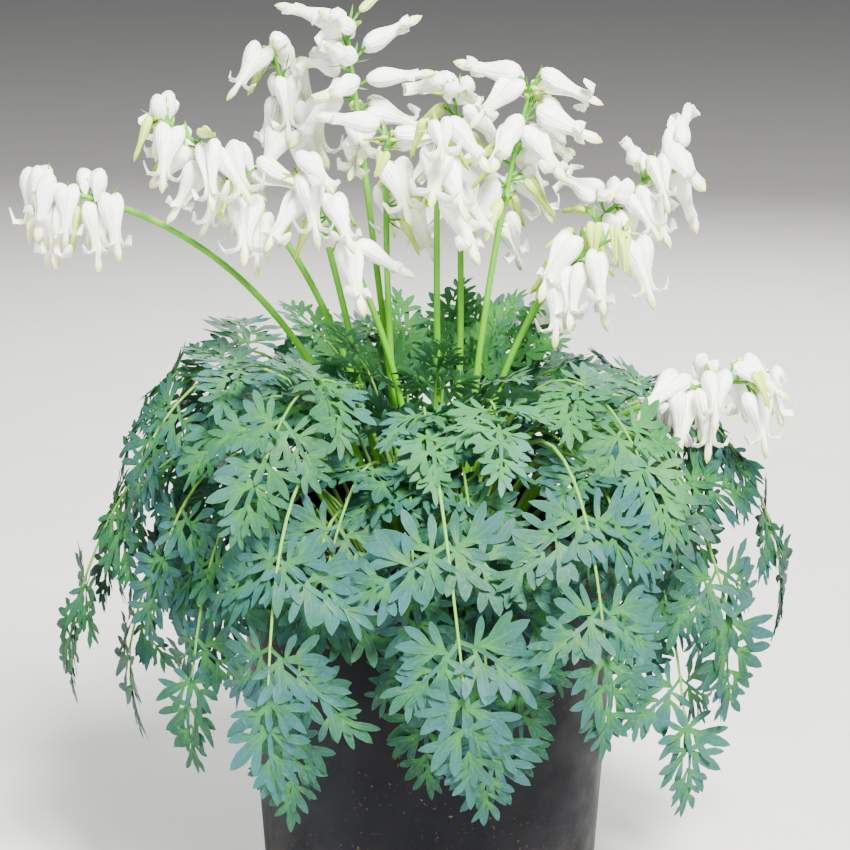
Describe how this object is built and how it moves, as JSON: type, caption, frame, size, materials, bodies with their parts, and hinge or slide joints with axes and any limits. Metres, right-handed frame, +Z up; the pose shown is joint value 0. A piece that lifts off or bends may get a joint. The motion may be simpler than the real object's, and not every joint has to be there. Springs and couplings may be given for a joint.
{
  "type": "bleeding heart plant in a nursery pot",
  "caption": "Fernleaf bleeding heart with white blooms on arching stems over blue-green foliage, in a round black nursery pot.",
  "frame": {"origin": "centre of the pot's underside", "axes": "+Z up along the pot's axis, -Y the front of the plant, +X to its right as seen from the front"},
  "size_m": [0.3294, 0.302, 0.3887],
  "materials": {
    "pot": "matt black blow-moulded plastic with soil specks",
    "soil": "damp crumbly potting mix of composted bark and peat",
    "stem": "smooth juicy green",
    "bloom": "waxy white petals with cream and green tinges",
    "leaf": "bloomy blue-green leaf"
  },
  "bodies": {
    "root": {"flower_stem_01": "stem", "flower_stem_02": "stem", "flower_stem_03": "stem", "flower_stem_04": "stem", "flower_stem_05": "stem", "flower_stem_06": "stem", "flower_stem_07": "stem", "flower_stem_08": "stem", "flower_stem_09": "stem", "flower_stem_10": "stem", "flower_stem_11": "stem", "flower_stem_12": "stem", "outer_frond_01": "leaf", "outer_frond_02": "leaf", "outer_frond_03": "leaf", "outer_frond_04": "leaf", "outer_frond_05": "leaf", "outer_frond_06": "leaf", "outer_frond_07": "leaf", "outer_frond_08": "leaf", "outer_frond_09": "leaf", "outer_frond_10": "leaf", "outer_frond_11": "leaf", "pot": "pot", "raceme_01": "bloom", "raceme_02": "bloom", "raceme_03": "bloom", "raceme_04": "bloom", "raceme_05": "bloom", "raceme_06": "bloom", "raceme_07": "bloom", "raceme_08": "bloom", "raceme_09": "bloom", "raceme_10": "bloom", "raceme_11": "bloom", "raceme_12": "bloom", "skirt_frond_01": "leaf", "skirt_frond_02": "leaf", "skirt_frond_03": "leaf", "skirt_frond_04": "leaf", "skirt_frond_05": "leaf", "skirt_frond_06": "leaf", "skirt_frond_07": "leaf", "skirt_frond_08": "leaf", "skirt_frond_09": "leaf", "skirt_frond_10": "leaf", "soil": "soil", "tuft_01": "leaf", "tuft_02": "leaf", "tuft_03": "leaf", "upper_frond_01": "leaf", "upper_frond_02": "leaf", "upper_frond_03": "leaf", "upper_frond_04": "leaf", "upper_frond_05": "leaf", "upper_frond_06": "leaf", "upper_frond_07": "leaf", "upper_frond_08": "leaf", "upper_frond_09": "leaf"}
  },
  "joints": []
}
